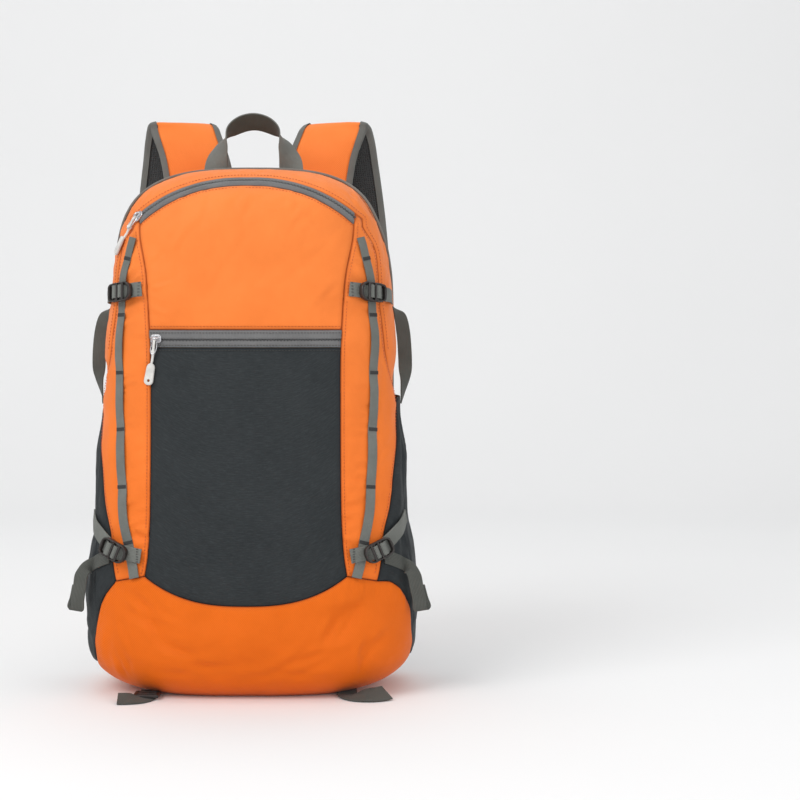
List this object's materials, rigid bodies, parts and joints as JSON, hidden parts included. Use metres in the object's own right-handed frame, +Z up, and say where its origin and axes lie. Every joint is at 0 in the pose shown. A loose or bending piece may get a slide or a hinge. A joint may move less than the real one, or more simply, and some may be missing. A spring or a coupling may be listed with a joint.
{
  "type": "packable backpack",
  "caption": "Packable hiking backpack standing upright, with a front zip pocket, side pockets, compression straps, a grab handle and padded shoulder straps.",
  "frame": {"origin": "middle of the flat base, on the floor", "axes": "+Z up the bag, -Y out of its front, +X to the right seen from the front"},
  "size_m": [0.354, 0.2423, 0.5752],
  "materials": {
    "orange_cloth": "orange plain-weave nylon with a soft sheen",
    "base_cloth": "orange coated nylon with a fine diagonal grain",
    "dark_cloth": "slate ripstop nylon",
    "strap_cloth": "orange nylon over foam, dark mesh inside",
    "webbing": "grey ribbed webbing",
    "zip_tape": "grey zip tape over a dark coil",
    "piping": "grey woven piping",
    "buckle_plastic": "dark moulded plastic",
    "slider_metal": "bright zip slider",
    "pull_rubber": "light grey moulded grip on a cord"
  },
  "bodies": {
    "root": {"back_panel": "dark_cloth", "back_piping": "piping", "back_yoke": "orange_cloth", "bottom_panel": "base_cloth", "front_panel": "orange_cloth", "front_pocket": "dark_cloth", "grab_handle": "webbing", "left_daisy_chain": "webbing", "left_front_strip": "orange_cloth", "left_ladder_lock": "buckle_plastic", "left_lash_lock": "buckle_plastic", "left_lash_strap": "webbing", "left_lower_buckle": "buckle_plastic", "left_lower_strap": "webbing", "left_lower_tail": "webbing", "left_lower_webbing": "webbing", "left_shoulder_strap": "strap_cloth", "left_side_panel": "orange_cloth", "left_side_pocket": "dark_cloth", "left_upper_buckle": "buckle_plastic", "left_upper_strap": "webbing", "left_upper_tail": "webbing", "main_pull": "pull_rubber", "main_slider": "slider_metal", "main_zipper": "zip_tape", "pocket_pull": "pull_rubber", "pocket_slider": "slider_metal", "pocket_zipper": "zip_tape", "right_daisy_chain": "webbing", "right_front_strip": "orange_cloth", "right_ladder_lock": "buckle_plastic", "right_lash_strap": "webbing", "right_lower_buckle": "buckle_plastic", "right_lower_strap": "webbing", "right_lower_tail": "webbing", "right_lower_webbing": "webbing", "right_shoulder_strap": "strap_cloth", "right_side_panel": "orange_cloth", "right_side_pocket": "dark_cloth", "right_upper_buckle": "buckle_plastic", "right_upper_strap": "webbing", "right_upper_tail": "webbing", "top_gusset": "orange_cloth"}
  },
  "joints": []
}
